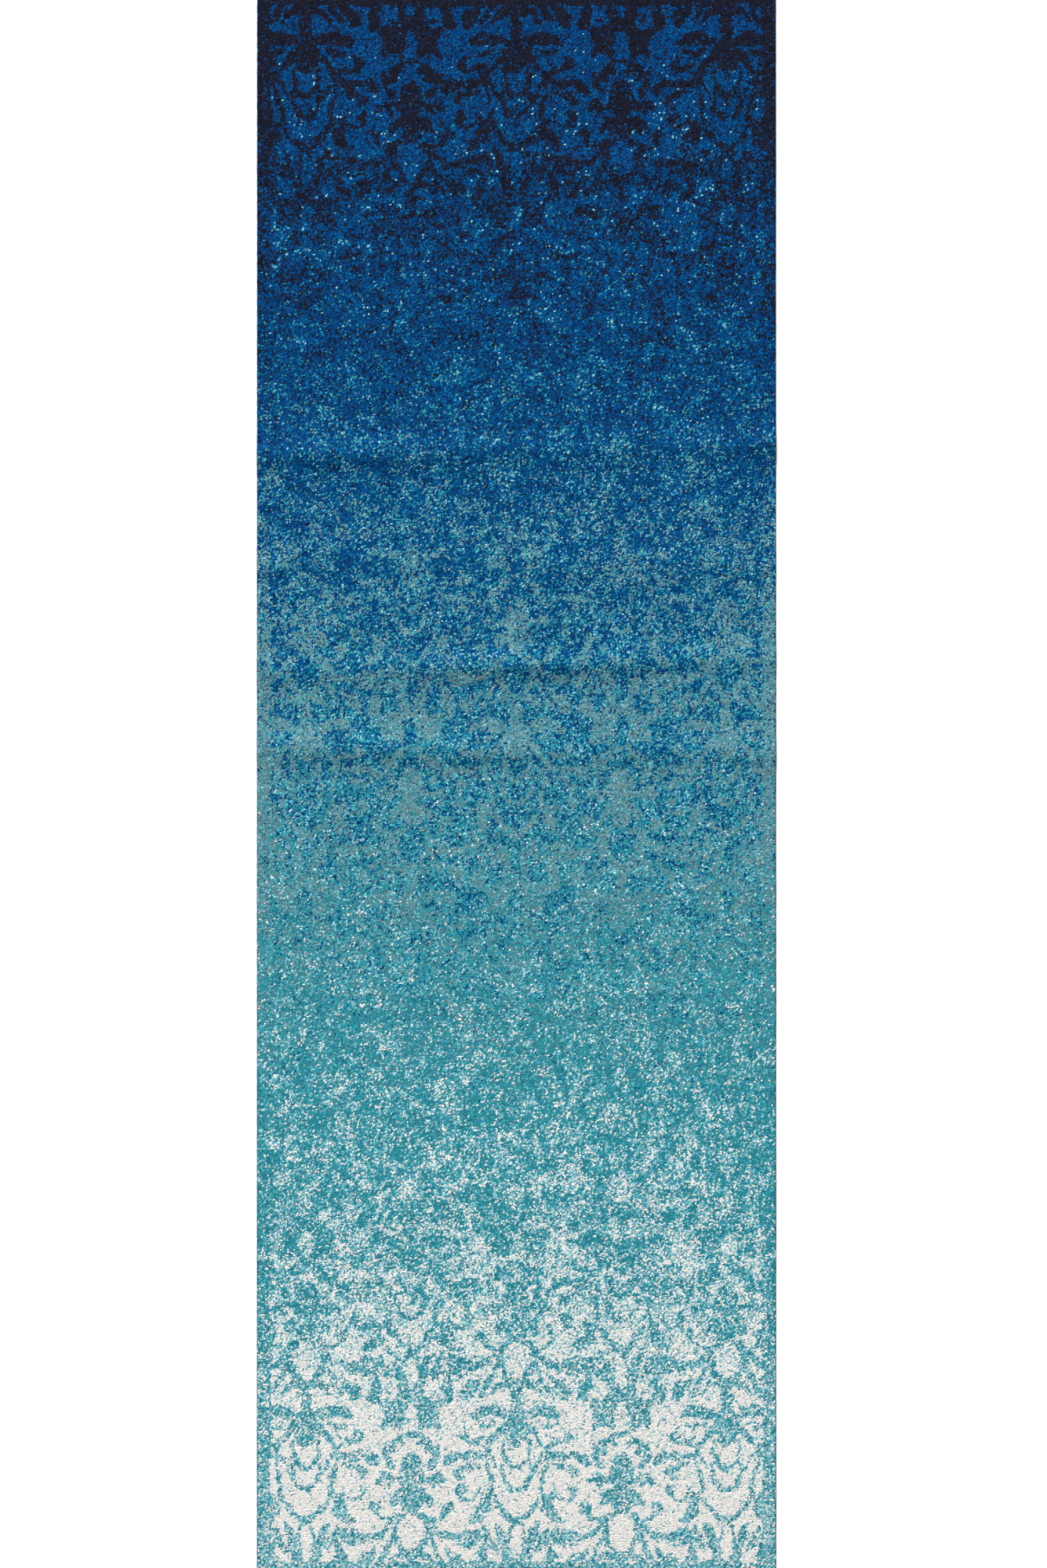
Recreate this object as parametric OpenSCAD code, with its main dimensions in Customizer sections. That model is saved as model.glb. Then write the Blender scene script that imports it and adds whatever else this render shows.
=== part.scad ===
// Runner rug: cut pile on a woven jute ground, serged along both sides and taped at both ends.
// X runs across the rug, Y along it towards the dark end, and Z up.
// The origin is on the floor under the middle of the rug.

/* [Rug] */
// Width over the serged sides
rug_w = 806; // [300:1:1600]
// Length over the taped ends
rug_l = 2438; // [600:1:4000]

/* [Pile] */
// Height of the pile above the ground weave
pile_h = 5.7; // [3.5:0.1:15]
// Size of the bevel round the pile's upper rim
pile_bevel = 1.2; // [0.4:0.1:2]
// How far the pile's rim stays inside the rug's outer edges
pile_inset = 1; // [0.2:0.1:2]
// Rise over which the lowest pile leans out over the serging
pile_flare = 1.2; // [0.5:0.1:1.6]

/* [Ground weave] */
// Diameter of a jute weft shot
weft_d = 1.1; // [0.8:0.1:1.6]
// Least distance between the shots of one layer, which are spread evenly over the length
weft_pitch = 5; // [3:0.5:20]
// Width of a flat stuffer warp
stuffer_w = 1.6; // [0.8:0.1:1.8]
// Thickness of a flat stuffer warp
stuffer_t = 0.5; // [0.3:0.1:1]
// Least distance between stuffer warps, which are spread evenly over the width
stuffer_pitch = 5; // [3:0.5:20]
// Width of a binding warp, which runs straight here between two stuffers
binder_w = 0.8; // [0.5:0.1:1]

/* [Back] */
// Thickness of the back coat, of the end tapes and of the serging's underside, which lie flush
coat_t = 0.6; // [0.5:0.1:1.5]

/* [Serged sides] */
// Thickness of the wrapped yarn on the upper face and the outer edge
serge_t = 0.6; // [0.4:0.1:1]
// How far the wrapped yarn reaches in from the edge
serge_reach = 5.2; // [4.8:0.1:8]

/* [Taped ends] */
// Width of the tape on the underside
tape_w = 30; // [20:1:60]
// Distance from the tape's inner edge to the row of stitches
stitch_in = 5; // [2:0.5:10]
// Length of one stitch
stitch_l = 4; // [2:0.5:8]
// Least gap between two stitches
stitch_gap = 1.5; // [1:0.5:4]
// Diameter of the sewing thread
thread_d = 0.3; // [0.2:0.05:0.35]

/* [Care label] */
// Width of the label, across the rug
label_w = 28; // [20:1:50]
// Length of the label, along the rug
label_l = 55; // [30:1:90]
// Thickness of the label
label_t = 0.3; // [0.2:0.05:0.35]
// Distance from the rug's right side to the label
label_in = 60; // [20:1:100]
// Number of stitches that hold the label
label_stitch_n = 5; // [3:1:7]

/* [Hidden] */

// Clearance between pieces that lie against each other
gap = 0.1;
yarn_fn = 16;
edge_fn = 48;
cut = 1;

// Heights of the layers, from the floor up
weave_t = 2 * weft_d + stuffer_t;
ground_z = coat_t + weave_t;
rug_h = ground_z + pile_h;
weft_lower_z = coat_t + weft_d / 2;
stuffer_z = coat_t + weft_d;
weft_upper_z = ground_z - weft_d / 2;

// The serging is a sleeve with a round outer edge that grips the cord and the edge of the weave
sleeve_h = ground_z + gap / 2 + serge_t;
sleeve_r = sleeve_h / 2;
cord_d = weave_t;
cord_x = rug_w / 2 - sleeve_r;
cord_z = coat_t + weave_t / 2;

// Half sizes of what lies between the sergings and between the tapes
weave_x = cord_x - cord_d / 2 - gap;
weave_y = rug_l / 2 - coat_t - gap;
inner_x = rug_w / 2 - serge_reach - gap;
coat_y = rug_l / 2 - tape_w - gap;

// How many yarns and stitches fit, and the steps that spread them over the whole width or length
weft_n = floor((2 * weave_y - weft_d) / weft_pitch) + 1;
weft_step = (2 * weave_y - weft_d) / (weft_n - 1);
stuffer_n = floor((2 * weave_x - stuffer_w) / stuffer_pitch) + 1;
stuffer_step = (2 * weave_x - stuffer_w) / (stuffer_n - 1);
stitch_n = floor(2 * inner_x / (stitch_l + stitch_gap));
stitch_step = 2 * inner_x / stitch_n;

// Grooves and slots that the thread lies in
groove_w = 2 * thread_d;
groove_h = thread_d + gap / 2;
label_x = rug_w / 2 - serge_reach - label_in;
label_slot_w = thread_d + gap;
// A label stitch is as long as the label's width leaves room for
label_stitch_l = min(stitch_l, label_w / label_stitch_n - stitch_gap / 2);

// A flat outline in the XZ plane, drawn out along the rug's length
module along_y(length) {
    translate([0, length / 2, 0]) rotate([90, 0, 0]) linear_extrude(length) children();
}

// A flat outline in the YZ plane, drawn out across the rug's width
module along_x(length) {
    translate([-length / 2, 0, 0]) rotate([90, 0, 90]) linear_extrude(length) children();
}

// Half widths and heights of the pile's section: foot, lean over the edge, upright rim, bevel
module pile_section(foot, rim) {
    step_z = ground_z + serge_t + gap;
    right = [
        [foot, ground_z],
        [foot, step_z],
        [rim, step_z + pile_flare],
        [rim, rug_h - pile_bevel],
        [rim - pile_bevel, rug_h]
    ];
    left = [for (i = [len(right) - 1 : -1 : 0]) [-right[i][0], right[i][1]]];
    polygon(concat(right, left));
}

module pile() {
    color("teal") intersection() {
        along_y(rug_l) pile_section(inner_x, rug_w / 2 - pile_inset);
        along_x(rug_w) pile_section(weave_y, rug_l / 2 - pile_inset);
    }
}

// One layer of jute shots, evenly spaced about the middle of the rug
module weft_layer(count, z) {
    for (i = [0 : count - 1])
        translate([0, (i - (count - 1) / 2) * weft_step, z])
            rotate([0, 90, 0])
                cylinder(h = 2 * weave_x, d = weft_d, center = true, $fn = yarn_fn);
}

module weft_upper() {
    color("peru") weft_layer(weft_n, weft_upper_z);
}

module weft_lower() {
    color("peru") weft_layer(weft_n - 1, weft_lower_z);
}

// Flat yarns along the rug's length in the layer between the shots, evenly spaced about its middle
module warp_layer(count, width) {
    for (i = [0 : count - 1])
        translate([(i - (count - 1) / 2) * stuffer_step - width / 2, -weave_y, stuffer_z])
            cube([width, 2 * weave_y, stuffer_t]);
}

module stuffer_warps() {
    color("wheat") warp_layer(stuffer_n, stuffer_w);
}

module binding_warps() {
    color("tan") warp_layer(stuffer_n - 1, binder_w);
}

// Where the care label lies, with its upper edge against the tape of the dark end
module at_label() {
    translate([label_x - label_w / 2, coat_y - label_l / 2, 0]) children();
}

module back_coat() {
    color("tan") difference() {
        translate([-inner_x, -coat_y, 0]) cube([2 * inner_x, 2 * coat_y, coat_t]);
        at_label()
            translate([-label_w / 2 - gap, -label_l / 2 - gap, -cut])
                cube([label_w + 2 * gap, label_l + gap + cut, cut + label_t + gap / 2]);
    }
}

module selvedge_cord(side) {
    color("wheat")
        translate([side * cord_x, 0, cord_z])
            rotate([90, 0, 0])
                cylinder(h = rug_l, d = cord_d, center = true, $fn = edge_fn);
}

module selvedge_cord_left() {
    selvedge_cord(-1);
}

module selvedge_cord_right() {
    selvedge_cord(1);
}

// Section of the right-hand serging: a round edge with two lips, hollow for the cord and the weave
module serging_section() {
    difference() {
        union() {
            translate([cord_x, sleeve_r]) circle(r = sleeve_r, $fn = edge_fn);
            translate([rug_w / 2 - serge_reach, 0]) square([serge_reach - sleeve_r, sleeve_h]);
        }
        translate([cord_x, cord_z]) circle(d = cord_d + gap, $fn = edge_fn);
        translate([rug_w / 2 - serge_reach - cut, coat_t - gap / 2])
            square([serge_reach - sleeve_r + cut, weave_t + gap]);
    }
}

module serging_right() {
    color("midnightblue") along_y(rug_l) serging_section();
}

module serging_left() {
    mirror([1, 0, 0]) serging_right();
}

// The tape of the end at +Y: a flat leg under the weave, turned up over the cut end
module end_tape() {
    seam_y = rug_l / 2 - tape_w + stitch_in;
    difference() {
        union() {
            translate([-inner_x, rug_l / 2 - tape_w, 0]) cube([2 * inner_x, tape_w, coat_t]);
            translate([-inner_x, rug_l / 2 - coat_t, 0]) cube([2 * inner_x, coat_t, ground_z]);
        }
        translate([-inner_x - cut, seam_y - groove_w / 2, -cut])
            cube([2 * (inner_x + cut), groove_w, cut + groove_h]);
    }
}

module tape_dark_end() {
    color("midnightblue") end_tape();
}

module tape_light_end() {
    color("lightseagreen") mirror([0, 1, 0]) end_tape();
}

// A straight run of sewing thread along X, with its middle at the origin
module stitch() {
    rotate([0, 90, 0]) cylinder(h = stitch_l, d = thread_d, center = true, $fn = yarn_fn);
}

module tape_stitches() {
    for (i = [0 : stitch_n - 1])
        translate([
            (i - (stitch_n - 1) / 2) * stitch_step,
            rug_l / 2 - tape_w + stitch_in,
            groove_h - thread_d / 2
        ]) stitch();
}

module tape_stitches_dark_end() {
    color("slategray") tape_stitches();
}

module tape_stitches_light_end() {
    color("whitesmoke") mirror([0, 1, 0]) tape_stitches();
}

// Places of the stitches across the label, near its upper edge
module at_label_stitches() {
    for (i = [0 : label_stitch_n - 1])
        translate([
            (i - (label_stitch_n - 1) / 2) * label_w / label_stitch_n,
            label_l / 2 - stitch_in / 2,
            0
        ]) children();
}

module care_label() {
    color("white") at_label() difference() {
        translate([-label_w / 2, -label_l / 2, 0]) cube([label_w, label_l, label_t]);
        at_label_stitches()
            translate([-label_stitch_l / 2 - gap / 2, -label_slot_w / 2, -cut])
                cube([label_stitch_l + gap, label_slot_w, label_t + 2 * cut]);
    }
}

module label_stitches() {
    color("gray") at_label() at_label_stitches()
        translate([-label_stitch_l / 2, -thread_d / 2, 0])
            cube([label_stitch_l, thread_d, label_t]);
}

pile();
weft_upper();
weft_lower();
stuffer_warps();
binding_warps();
back_coat();
selvedge_cord_left();
selvedge_cord_right();
serging_left();
serging_right();
tape_dark_end();
tape_light_end();
tape_stitches_dark_end();
tape_stitches_light_end();
care_label();
label_stitches();
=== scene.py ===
from math import atan, cos, pi, radians, sin, tau

import bpy
import numpy as np
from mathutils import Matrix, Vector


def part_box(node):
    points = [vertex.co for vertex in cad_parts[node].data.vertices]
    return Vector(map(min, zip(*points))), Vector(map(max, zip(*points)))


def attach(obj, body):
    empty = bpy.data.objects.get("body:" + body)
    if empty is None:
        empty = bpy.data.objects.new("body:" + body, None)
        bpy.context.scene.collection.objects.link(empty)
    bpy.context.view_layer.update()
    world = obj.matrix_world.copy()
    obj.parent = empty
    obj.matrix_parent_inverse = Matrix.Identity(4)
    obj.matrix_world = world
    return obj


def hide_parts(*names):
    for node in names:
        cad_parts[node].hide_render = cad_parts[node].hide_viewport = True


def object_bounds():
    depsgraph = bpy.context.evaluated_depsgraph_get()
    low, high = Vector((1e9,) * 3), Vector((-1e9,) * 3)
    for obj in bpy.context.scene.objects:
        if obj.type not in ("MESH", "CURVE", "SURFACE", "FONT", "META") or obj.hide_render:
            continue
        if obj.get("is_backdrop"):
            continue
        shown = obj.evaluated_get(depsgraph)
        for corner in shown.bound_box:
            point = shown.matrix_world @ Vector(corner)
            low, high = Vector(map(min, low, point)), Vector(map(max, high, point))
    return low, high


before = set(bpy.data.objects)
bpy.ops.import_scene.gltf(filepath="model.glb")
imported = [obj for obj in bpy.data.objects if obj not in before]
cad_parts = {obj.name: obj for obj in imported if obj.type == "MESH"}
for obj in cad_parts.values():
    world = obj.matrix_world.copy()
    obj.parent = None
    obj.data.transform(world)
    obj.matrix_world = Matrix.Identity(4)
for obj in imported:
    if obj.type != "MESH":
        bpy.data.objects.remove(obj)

# Runner rug in Blender: metres, X across the rug, Y along it towards the dark end, Z up.
# The pile is made tuft by tuft, one piece for each yarn colour. A damask picks ink or field for
# each tuft, and the recipe of that place along the rug picks its yarn.

CAD_LOW, CAD_HIGH = (np.array(corner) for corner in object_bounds())
MM = 0.001
RNG = np.random.default_rng(11)

# ---------------------------------------------------------------- sizes, from the frame

RUG_W, RUG_L, RUG_H = CAD_HIGH - CAD_LOW
PILE_LOW, PILE_HIGH = (np.array(corner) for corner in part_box("pile"))
COAT_LOW, COAT_HIGH = (np.array(corner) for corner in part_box("back_coat"))
SERGE_LOW, SERGE_HIGH = (np.array(corner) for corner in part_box("serging_right"))
TAPE_LOW, TAPE_HIGH = (np.array(corner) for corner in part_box("tape_dark_end"))
LABEL_LOW, LABEL_HIGH = (np.array(corner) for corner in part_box("care_label"))
GROUND_Z = PILE_LOW[2]
PILE_HEIGHT = PILE_HIGH[2] - GROUND_Z
INNER_X = SERGE_LOW[0]

# ---------------------------------------------------------------- the pile's lay-out

STEP_X = 2.3 * MM  # from tuft to tuft across the rug
STEP_Y = 2.15 * MM  # from row to row
CAP_LONG = 3.0 * MM  # half the length of a tuft's cut end
CAP_SHORT = 2.1 * MM  # half its width
CAP_TURN = radians(38)  # how far its length is turned from across the rug
TUFT_SHIFT = 0.4 * MM  # how far a tuft strays from its place
NAP = np.array([0.35, -0.75]) * MM  # how far a tuft's tip leans from its root
NAP_STRAY = 0.5 * MM
CORNER_TONE = 0.2  # how much lighter or darker the corners of one cut end may be: a random painted shade that makes it look rounded

# ---------------------------------------------------------------- the damask

HALF_WIDE = 163.0  # from one axis of the repeat to the next, in mm
HALF_HIGH = 266.0  # from one row to the next, which is set half a repeat over, in mm
SIDE_BORDER = 22.0 * MM
END_BORDER = 13.0 * MM
SOFT = 2.2  # width over which a shape's edge fades, in mm
OVERLAP = 24  # how far a shape may run past the half repeat, in mm
SWEEP_STEPS = 40

# Strokes of the half repeat, in mm from the foot of axis A: how full it is, the points that a
# curve passes through, and its half width at each. Axis B is at x = HALF_WIDE.
INK_STROKES = [
    # the stem, and the drop on it
    (1.0, [(0, -4), (0, 12), (2, 26)], [7, 6, 5]),
    (1.0, [(4, 22), (19, 40), (26, 62), (20, 84)], [4, 4.5, 4.5, 5]),
    (1.0, [(16, 84), (8, 80), (6, 70)], [5, 2.5, 1]),
    (0.9, [(6, 18), (18, 22), (34, 14)], [3, 6, 2]),
    # a tail that curls up into a bud
    (1.0, [(22, 82), (36, 78), (48, 82), (53, 94)], [4, 3.5, 3.5, 5]),
    (1.0, [(54, 96)], [8.5]),
    (0.8, [(60, 104), (63, 98)], [3, 3]),
    # the lily: stalk, wings, waist, head and arms with buds
    (1.0, [(0, 76), (0, 92), (0, 110)], [2, 9, 14]),
    (1.0, [(4, 118), (19, 114), (29, 104)], [9, 9, 6]),
    (1.0, [(0, 104), (0, 124)], [16, 12]),
    (1.0, [(0, 124), (0, 140)], [11, 14]),
    (1.0, [(0, 146), (0, 162)], [20, 17]),
    (0.9, [(8, 142), (22, 140), (34, 142)], [10, 5, 6]),
    (0.9, [(40, 144)], [8]),
    (0.9, [(48, 138)], [6]),
    (0.9, [(34, 132)], [5]),
    # the crown over the lily
    (0.9, [(0, 210), (12, 209), (22, 202)], [3.5, 3.5, 3]),
    (1.0, [(12, 196), (24, 198), (30, 188), (24, 182)], [4, 6, 5, 3]),
    # small leaves and a row of beads
    (1.0, [(42, 196), (39, 184), (40, 172)], [2, 6, 4]),
    (0.9, [(38, 170), (32, 162), (30, 156)], [3, 5, 2]),
    (1.0, [(54, 166), (62, 174), (70, 178)], [6, 8, 4]),
    (1.0, [(76, 178), (92, 176), (108, 178)], [5, 7, 5]),
    (0.6, [(72, 152), (86, 158), (106, 164)], [8, 7, 3]),
    (0.6, [(76, 144), (70, 152)], [5, 5]),
    # scrolls
    (1.0, [(76, 124)], [8]),
    (0.9, [(74, 116), (86, 109), (98, 114), (106, 128)], [4, 3, 2.5, 1.5]),
    (1.0, [(80, 210), (84, 204)], [9, 6]),
    (0.9, [(82, 202), (96, 198), (112, 206)], [4, 3.5, 3]),
    (0.6, [(74, 214), (84, 218), (94, 214)], [3, 3, 1]),
    # a leaf that hangs down to the long swoosh, and the swoosh
    (1.0, [(110, 116), (112, 102), (104, 88)], [5, 8, 6]),
    (0.7, [(120, 92), (104, 82), (90, 76)], [4, 8, 4]),
    (1.0, [(30, 76), (46, 56), (70, 50), (90, 58)], [3, 5, 6.5, 7]),
    (0.7, [(94, 46), (102, 54), (100, 64)], [10, 9, 3]),
    (0.5, [(72, 40), (88, 38)], [3, 5]),
    # a fan of leaves at the foot
    (1.0, [(28, 62), (34, 40), (52, 8)], [2, 4, 5]),
    (0.6, [(38, 6), (28, 20)], [3, 6]),
    (1.0, [(54, 34), (64, 20), (76, 4)], [2, 6, 8]),
    (0.7, [(72, 22), (82, 12)], [6, 4]),
    (0.9, [(112, 40), (108, 22), (104, 2)], [4, 8, 10]),
    (0.6, [(120, 18), (132, 6)], [4, 3]),
    # the palmette on axis B
    (1.0, [(159, 6), (152, 30), (152, 52), (160, 76)], [4, 2.5, 2.5, 2.5]),
    (0.65, [(144, 26), (140, 48), (130, 72)], [3, 8, 4]),
    (0.6, [(132, 30), (120, 48), (114, 66)], [4, 8, 4]),
    (1.0, [(163, 2), (152, 10), (144, 26)], [10, 8, 4]),
    (0.9, [(163, 72), (148, 82), (134, 96)], [4, 3.5, 3.5]),
    # bows up axis B
    (0.8, [(163, 80), (150, 84), (138, 98)], [3, 3, 3]),
    (0.8, [(163, 124), (150, 130), (142, 146), (142, 164)], [4.5, 4.5, 4, 3]),
    (0.8, [(163, 158), (150, 166), (144, 182), (144, 200)], [4.5, 4.5, 4, 3]),
    (0.8, [(138, 98), (128, 110), (126, 130)], [4, 3, 3]),
    (0.7, [(122, 92), (120, 110), (126, 128)], [2, 3, 3]),
    (0.8, [(126, 128), (122, 146), (116, 166)], [3, 4, 3]),
    (0.7, [(136, 150), (130, 166), (120, 184)], [2, 3, 3]),
    (0.9, [(116, 172), (118, 188), (130, 206), (148, 226)], [4, 4, 5, 8]),
    (0.7, [(100, 196), (112, 192), (118, 184)], [2, 4, 3]),
    # the cone on axis B
    (1.0, [(163, 206), (163, 218)], [14, 20]),
    (0.9, [(163, 226), (163, 244)], [18, 12]),
    (1.0, [(163, 240), (163, 270)], [10, 9]),
    # blocks beside axis A at the top
    (0.9, [(18, 258), (24, 244), (26, 232)], [14, 14, 12]),
    (0.9, [(42, 256), (36, 240)], [10, 10]),
    (1.0, [(14, 232), (16, 220)], [6, 4]),
    (1.0, [(38, 232), (42, 220)], [7, 4]),
    # a broad leaf under the row above
    (0.8, [(94, 238), (114, 246), (140, 242)], [5, 10, 8]),
    (0.6, [(100, 226), (112, 222), (128, 228)], [2, 5, 4]),
]
# What is cut out of the ink again: the insides of the drop and the palmette, a seed, and gaps.
FIELD_STROKES = [
    (1.0, [(0, 30), (0, 46), (0, 60), (0, 74)], [2, 12, 17, 13]),
    (1.0, [(163, 30), (163, 50), (163, 66)], [3, 7, 3]),
    (1.0, [(0, 222), (0, 240), (0, 252)], [8, 10, 6]),
    (1.0, [(124, 16), (134, 20)], [4, 4]),
    (1.0, [(60, 240), (66, 226)], [16, 18]),
]

# How much the damask is broken up, at shares of the length from the dark end to the light end.
WEAR = [(0, 0.3), (0.05, 0.5), (0.1, 0.8), (0.16, 1.1), (0.25, 1.2), (0.33, 0.65), (0.39, 0.4), (0.5, 0.35),
        (0.56, 0.6), (0.64, 0.95), (0.72, 1.0), (0.8, 0.9), (0.86, 0.55), (0.9, 0.25), (1, 0.15)]

# How deep in a stroke a tuft must lie to be ink, and how much neighbouring tufts are alike in their
# yarn beyond the damask, both at the same kind of places.
INK_BAR = [(0, 0.36), (0.25, 0.36), (0.35, 0.5), (0.5, 0.5), (0.6, 0.36), (0.84, 0.36), (0.91, 0.44), (1, 0.44)]
PATCHES = [(0, 0.2), (0.15, 0.8), (0.3, 0.6), (0.4, 0.4), (0.5, 0.4), (0.62, 0.6), (0.76, 0.7), (0.86, 0.3),
           (1, 0.1)]

# ---------------------------------------------------------------- the yarns

# Each yarn, dark to light: its colour in sRGB, and its share of the ink and of the field at places
# along the rug, from 0 at the dark end to 1 at the light end.
YARNS = {
    "midnight": (
        (0.070, 0.080, 0.130),
        [(0, 1), (0.08, 0.92), (0.14, 0.68), (0.2, 0.3), (0.28, 0.06), (0.34, 0)],
        [(0, 0.18), (0.08, 0.16), (0.2, 0.1), (0.3, 0.035), (0.45, 0)],
    ),
    "royal": (
        (0.0, 0.188, 0.372),
        [(0, 0.03), (0.08, 0.1), (0.14, 0.3), (0.2, 0.5), (0.3, 0.4), (0.4, 0.12), (0.5, 0.04), (0.58, 0)],
        [(0, 0.78), (0.1, 0.66), (0.2, 0.54), (0.3, 0.34), (0.4, 0.22), (0.5, 0.12), (0.6, 0.03), (0.66, 0)],
    ),
    "azure": (
        (0.008, 0.266, 0.436),
        [(0, 0), (0.1, 0.03), (0.2, 0.12), (0.28, 0.34), (0.36, 0.25), (0.46, 0.08), (0.55, 0.04), (0.62, 0)],
        [(0, 0.16), (0.1, 0.32), (0.2, 0.42), (0.3, 0.48), (0.4, 0.44), (0.5, 0.32), (0.58, 0.16), (0.66, 0.04),
         (0.72, 0)],
    ),
    "teal": (
        (0.150, 0.470, 0.520),
        [(0.14, 0), (0.22, 0.04), (0.3, 0.12), (0.38, 0.2), (0.5, 0.24), (0.58, 0.42), (0.64, 0.7), (0.7, 0.8),
         (0.8, 0.68), (0.9, 0.42), (1, 0.34)],
        [(0.05, 0), (0.12, 0.015), (0.22, 0.06), (0.35, 0.15), (0.42, 0.26), (0.5, 0.44), (0.58, 0.58), (0.66, 0.55),
         (0.72, 0.42), (0.8, 0.17), (0.88, 0.04), (1, 0.012)],
    ),
    "grey": (
        (0.335, 0.478, 0.505),
        [(0.24, 0), (0.3, 0.1), (0.35, 0.27), (0.4, 0.52), (0.46, 0.76), (0.52, 0.72), (0.58, 0.5),
         (0.64, 0.22), (0.7, 0.05), (0.74, 0)],
        [(0.3, 0), (0.4, 0.02), (0.5, 0.04), (0.6, 0.05), (0.7, 0.02), (0.75, 0)],
    ),
    "aqua": (
        (0.425, 0.636, 0.670),
        [(0.25, 0), (0.35, 0.03), (0.5, 0.05), (0.7, 0.13), (0.8, 0.2), (0.9, 0.36), (1, 0.46)],
        [(0.02, 0), (0.06, 0.012), (0.2, 0.016), (0.3, 0.03), (0.4, 0.05), (0.5, 0.09), (0.6, 0.15),
         (0.7, 0.24), (0.78, 0.34), (0.84, 0.3), (0.88, 0.2), (0.92, 0.08), (1, 0.04)],
    ),
    "cream": (
        (0.788, 0.780, 0.764),
        [(0.5, 0), (0.6, 0.02), (0.7, 0.05), (0.8, 0.12), (0.9, 0.22), (1, 0.2)],
        [(0.48, 0), (0.52, 0.006), (0.6, 0.03), (0.66, 0.075), (0.72, 0.16), (0.78, 0.3), (0.84, 0.53),
         (0.88, 0.76), (0.92, 0.9), (1, 0.94)],
    ),
}
MOST_TUFTS = 48000  # in one piece, which keeps it under 200,000 triangles

# ---------------------------------------------------------------- how the rug lies

# Low ridges across the rug: place along it, height, half length, and skew across it.
RIDGES = [
    (0.957, 2.4, 24, 0.0), (0.700, 1.0, 40, 0.02), (0.517, 8.2, 24, 0.02), (0.341, 2.8, 26, 0.0),
    (0.184, 7.8, 21, 0.03), (0.051, 6.2, 23, -0.01), (-0.174, 1.4, 30, 0.03), (-0.331, 1.6, 30, -0.02),
    (-0.640, 1.2, 60, 0.04),
]
CURL = 0.9 * MM  # how far a long side lifts between the places where it lies down
CURL_LENGTH = 0.41
END_REST = 0.10  # the ends lie down over this length


def drape(x, y):
    """Height of the rug's underside over the floor: a sum of bell-shaped ridges across the rug,
    each fading from one side to the other, and a slow wave along the two long sides, all times a
    smooth step that brings the two ends down."""
    height = np.zeros(np.broadcast(x, y).shape)
    for i, (place, rise, half, skew) in enumerate(RIDGES):
        side = 0.72 + 0.28 * np.sin(2.2 * np.pi * x / RUG_W + 1.9 * i)
        height = height + rise * MM * side * np.exp(-(((y - place - skew * x) / (half * MM)) ** 2))
    edge = np.clip(np.abs(x) / (RUG_W / 2) * 3 - 2, 0, 1) ** 2
    wave = 0.5 - 0.5 * np.cos(tau * y / CURL_LENGTH + np.sign(x))
    rest = np.clip((RUG_L / 2 - np.abs(y)) / END_REST, 0, 1)
    return (height + CURL * edge * wave) * rest * rest * (3 - 2 * rest)


# ---------------------------------------------------------------- meshes


def make_piece(name, points, faces, material, uv=None, smooth=True, **values):
    """A mesh object from a table of points, a table of faces with equal numbers of corners, one
    place on the map for each point or each face corner, and named values for each point."""
    mesh = bpy.data.meshes.new(name)
    points = np.asarray(points, np.float32).reshape(-1, 3)
    faces = np.asarray(faces, np.int32)
    count, corners = faces.shape
    mesh.vertices.add(len(points))
    mesh.vertices.foreach_set("co", points.ravel())
    mesh.loops.add(count * corners)
    mesh.loops.foreach_set("vertex_index", faces.ravel())
    mesh.polygons.add(count)
    mesh.polygons.foreach_set("loop_start", np.arange(0, count * corners, corners, dtype=np.int32))
    mesh.polygons.foreach_set("use_smooth", np.broadcast_to(smooth, count))
    if uv is not None:
        uv = np.asarray(uv, np.float32)
        uv = uv[faces.ravel()] if len(uv) == len(points) else uv
        mesh.uv_layers.new(name="OFBake").uv.foreach_set("vector", uv.ravel())
    for key, value in values.items():
        kind, field = ("FLOAT_VECTOR", "vector") if np.ndim(value) == 2 else ("FLOAT", "value")
        data = mesh.attributes.new(key, kind, "POINT").data
        data.foreach_set(field, np.asarray(value, np.float32).ravel())
    mesh.update(calc_edges=True)
    mesh.materials.append(material)
    piece = bpy.data.objects.new(name, mesh)
    bpy.context.scene.collection.objects.link(piece)
    return piece


def grid_faces(rows, columns, closed=False):
    """Four-cornered faces of a grid of rows by columns. Closed joins the last column to the first."""
    across = columns if closed else columns - 1
    row, column = np.meshgrid(np.arange(rows - 1), np.arange(across), indexing="ij")
    after = (column + 1) % columns
    low, high = row * columns, (row + 1) * columns
    return np.stack([low + column, low + after, high + after, high + column], -1).reshape(-1, 4)


def sleeve_faces(rows, columns):
    """Faces of a tube of rows rings with columns points each, its ends closed by pairs of points."""
    sides = grid_faces(rows, columns, closed=True)
    half = columns // 2
    step = np.arange(half - 1)
    first = np.stack([step, columns - 1 - step, columns - 2 - step, step + 1], -1)
    last = (rows - 1) * columns + first[:, ::-1]
    return np.concatenate([sides, first, last])


def strip_map(faces, along, around, strips):
    """A map of a long tube: its length is cut into equal strips that lie one above another. along
    and around run from 0 to 1 on each point, and a face lies in the strip of its lowest corner."""
    a, b = along[faces], around[faces]
    b = np.where(b.max(1, keepdims=True) - b > 0.5, b + 1, b)
    strip = np.floor(a.min(1, keepdims=True) * strips * 0.99999)
    across = a * strips - strip
    up = (strip + 0.02 + 0.96 * b / np.maximum(b.max(), 1)) / strips
    return np.stack([across.clip(0, 1), up], -1).reshape(-1, 2)


def settle(piece, slot, *nodes):
    """Rides the piece on the rug's one body and hides the CAD nodes it stands for."""
    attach(piece, "root")
    if nodes:
        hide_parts(*nodes)
    return piece


# ---------------------------------------------------------------- the damask on each tuft


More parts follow.
